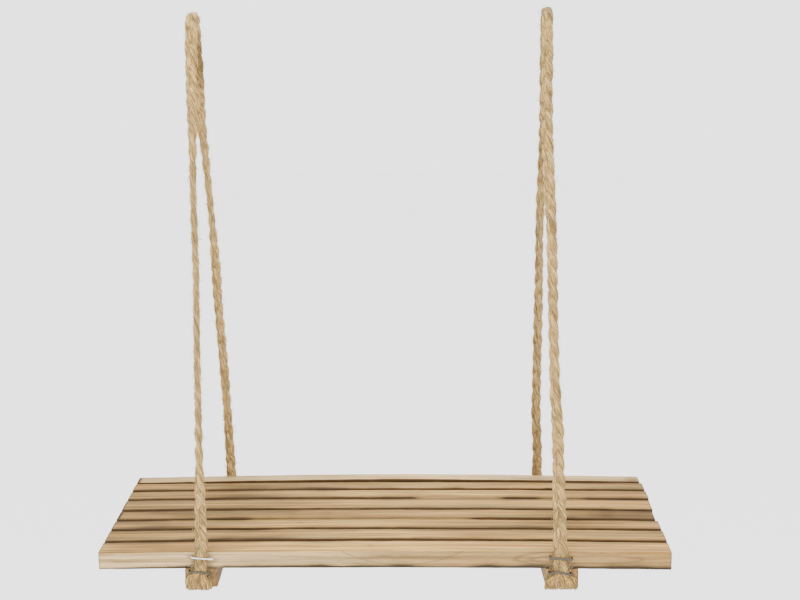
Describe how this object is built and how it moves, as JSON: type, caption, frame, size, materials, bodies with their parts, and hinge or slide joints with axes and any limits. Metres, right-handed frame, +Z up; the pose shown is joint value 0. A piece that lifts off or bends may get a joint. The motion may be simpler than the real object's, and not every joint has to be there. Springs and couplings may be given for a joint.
{
  "type": "hanging shelf",
  "caption": "Hanging shelf of parallel wood slats screwed to cross battens, slung near each end from a flat plaited rope that is stapled round its edges.",
  "frame": {"origin": "on the hook line, the line along X through the middle of both rope bends, over the middle of the shelf's length and depth", "axes": "+X along the shelf to the right, +Y from its front edge to its back edge, +Z up"},
  "size_m": [0.6, 0.249, 0.5985],
  "materials": {
    "slat_wood": "sawn softwood, dry and unvarnished, light tan with darker edges",
    "batten_wood": "sawn softwood, unvarnished, a warmer brown than the slats",
    "jute_rope": "natural jute in a flat plait, matt and hairy",
    "staple_wire": "galvanised wire, dull with bright edges",
    "screw_steel": "zinc plated, yellowish, satin"
  },
  "bodies": {
    "hook_bends": {"left_rope_bight": "jute_rope", "right_rope_bight": "jute_rope"},
    "rope_necks": {"left_rope_front_neck": "jute_rope", "left_rope_back_neck": "jute_rope", "right_rope_front_neck": "jute_rope", "right_rope_back_neck": "jute_rope"},
    "left_legs": {"left_rope_front_leg": "jute_rope", "left_rope_back_leg": "jute_rope"},
    "right_legs": {"right_rope_front_leg": "jute_rope", "right_rope_back_leg": "jute_rope"},
    "shelf": {"slat_1": "slat_wood", "slat_2": "slat_wood", "slat_3": "slat_wood", "slat_4": "slat_wood", "slat_5": "slat_wood", "slat_6": "slat_wood", "slat_7": "slat_wood", "slat_8": "slat_wood", "left_batten": "batten_wood", "right_batten": "batten_wood", "left_screw_1": "screw_steel", "left_screw_2": "screw_steel", "left_screw_3": "screw_steel", "left_screw_4": "screw_steel", "left_screw_5": "screw_steel", "left_screw_6": "screw_steel", "left_screw_7": "screw_steel", "left_screw_8": "screw_steel", "right_screw_1": "screw_steel", "right_screw_2": "screw_steel", "right_screw_3": "screw_steel", "right_screw_4": "screw_steel", "right_screw_5": "screw_steel", "right_screw_6": "screw_steel", "right_screw_7": "screw_steel", "right_screw_8": "screw_steel", "left_front_upper_staple": "staple_wire", "left_front_lower_staple": "staple_wire", "left_front_under_staple": "staple_wire", "left_back_upper_staple": "staple_wire", "left_back_lower_staple": "staple_wire", "left_back_under_staple": "staple_wire", "right_front_upper_staple": "staple_wire", "right_front_lower_staple": "staple_wire", "right_front_under_staple": "staple_wire", "right_back_upper_staple": "staple_wire", "right_back_lower_staple": "staple_wire", "right_back_under_staple": "staple_wire", "left_rope_front_tail": "jute_rope", "left_rope_back_tail": "jute_rope", "right_rope_front_tail": "jute_rope", "right_rope_back_tail": "jute_rope"}
  },
  "joints": [
    {"name": "swing", "type": "hinge", "parent": "hook_bends", "child": "rope_necks", "pos_m": [0, 0, 0], "axis": [1, 0, 0], "range_deg": [-30, 30], "deforming": ["left_rope_front_neck", "left_rope_back_neck", "right_rope_front_neck", "right_rope_back_neck"]},
    {"name": "sway_left", "type": "hinge", "parent": "rope_necks", "child": "left_legs", "pos_m": [-0.1905, 0, -0.022], "axis": [0, 1, 0], "range_deg": [-20, 20]},
    {"name": "shelf_level", "type": "hinge", "parent": "left_legs", "child": "shelf", "pos_m": [-0.1905, 0, -0.536], "axis": [0, 1, 0], "range_deg": [-20, 20]},
    {"name": "sway_right", "type": "hinge", "parent": "rope_necks", "child": "right_legs", "pos_m": [0.18, 0, -0.022], "axis": [0, 1, 0], "range_deg": [-20, 20]}
  ],
  "couplings": [
    {"joint": "shelf_level", "follows": "sway_left", "ratio": -1},
    {"joint": "sway_right", "follows": "sway_left", "ratio": 1}
  ]
}
